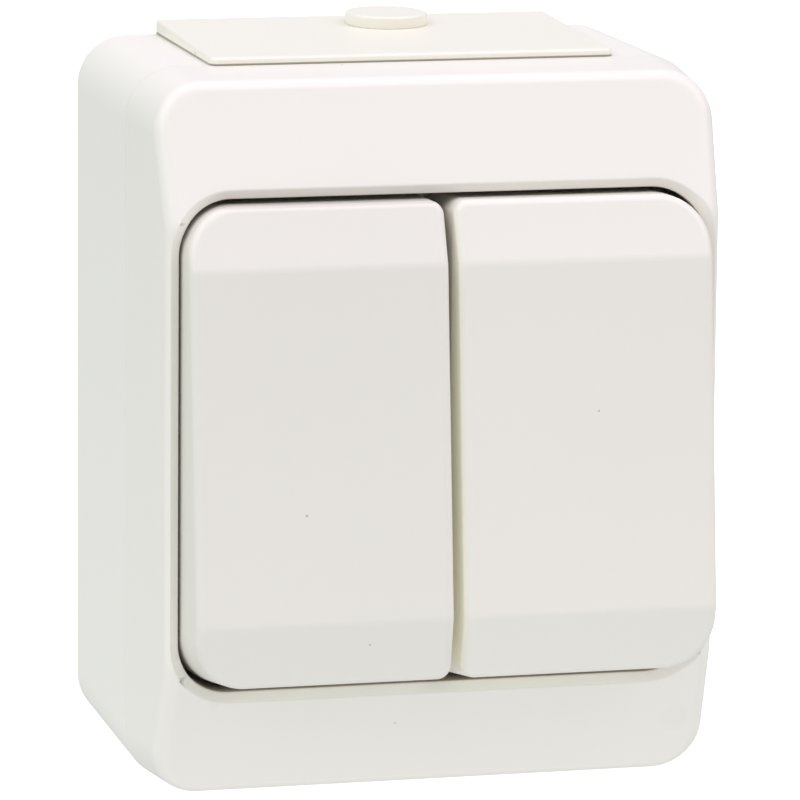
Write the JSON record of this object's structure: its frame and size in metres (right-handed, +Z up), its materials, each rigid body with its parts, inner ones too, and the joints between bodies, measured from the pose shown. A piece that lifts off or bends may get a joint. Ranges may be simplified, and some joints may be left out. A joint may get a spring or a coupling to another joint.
{
  "type": "outdoor weatherproof switch",
  "caption": "Surface-mounted weatherproof light switch: wall box with a cable entry plate on top, bent-front cover and side-by-side rocker caps.",
  "frame": {"origin": "centre of the rear face, on the wall plane", "axes": "+X to the right seen from the front, +Y into the wall, +Z up"},
  "size_m": [0.0666, 0.0526, 0.0851],
  "materials": {
    "box_shell": "smooth moulded white plastic",
    "cover_shell": "smooth moulded white plastic",
    "rocker_cap": "smooth moulded white plastic",
    "entry_cream": "soft cream plastic",
    "seal_grey": "soft grey rubber",
    "insert_grey": "light grey insulating plastic",
    "cradle_white": "off-white plastic",
    "zinc_sheet": "zinc-plated sheet steel",
    "zinc_screw": "zinc-plated steel screw",
    "bright_steel": "drawn bright steel",
    "brass_strip": "plain brass"
  },
  "bodies": {
    "housing": {"back_box": "box_shell", "cover": "cover_shell", "entry_plate": "entry_cream", "cable_stopper": "entry_cream", "box_gasket": "seal_grey", "rocker_seal": "seal_grey", "support_frame": "zinc_sheet", "switch_base": "insert_grey", "rocker_pin": "bright_steel", "feed_terminal": "brass_strip", "outlet_terminal_left": "brass_strip", "outlet_terminal_right": "brass_strip", "frame_screws": "zinc_screw", "cover_screws": "zinc_screw", "terminal_screws": "zinc_screw"},
    "rocker_left_body": {"rocker_left": "rocker_cap", "cradle_left": "cradle_white", "plunger_left": "cradle_white", "spring_left": "bright_steel"},
    "rocker_right_body": {"rocker_right": "rocker_cap", "cradle_right": "cradle_white", "plunger_right": "cradle_white", "spring_right": "bright_steel"},
    "lever_left_body": {"contact_lever_left": "brass_strip"},
    "lever_right_body": {"contact_lever_right": "brass_strip"}
  },
  "joints": [
    {"name": "rocker_left_tilt", "type": "hinge", "parent": "housing", "child": "rocker_left_body", "pos_m": [0, -0.03942, 0], "axis": [1, 0, 0], "range_deg": [0, 12]},
    {"name": "rocker_right_tilt", "type": "hinge", "parent": "housing", "child": "rocker_right_body", "pos_m": [0, -0.03942, 0], "axis": [1, 0, 0], "range_deg": [0, 12]},
    {"name": "lever_left_tilt", "type": "hinge", "parent": "housing", "child": "lever_left_body", "pos_m": [0, -0.0232, 0], "axis": [1, 0, 0], "range_deg": [-12, 0]},
    {"name": "lever_right_tilt", "type": "hinge", "parent": "housing", "child": "lever_right_body", "pos_m": [0, -0.0232, 0], "axis": [1, 0, 0], "range_deg": [-12, 0]}
  ],
  "couplings": [
    {"joint": "lever_left_tilt", "follows": "rocker_left_tilt", "ratio": -1},
    {"joint": "lever_right_tilt", "follows": "rocker_right_tilt", "ratio": -1}
  ]
}
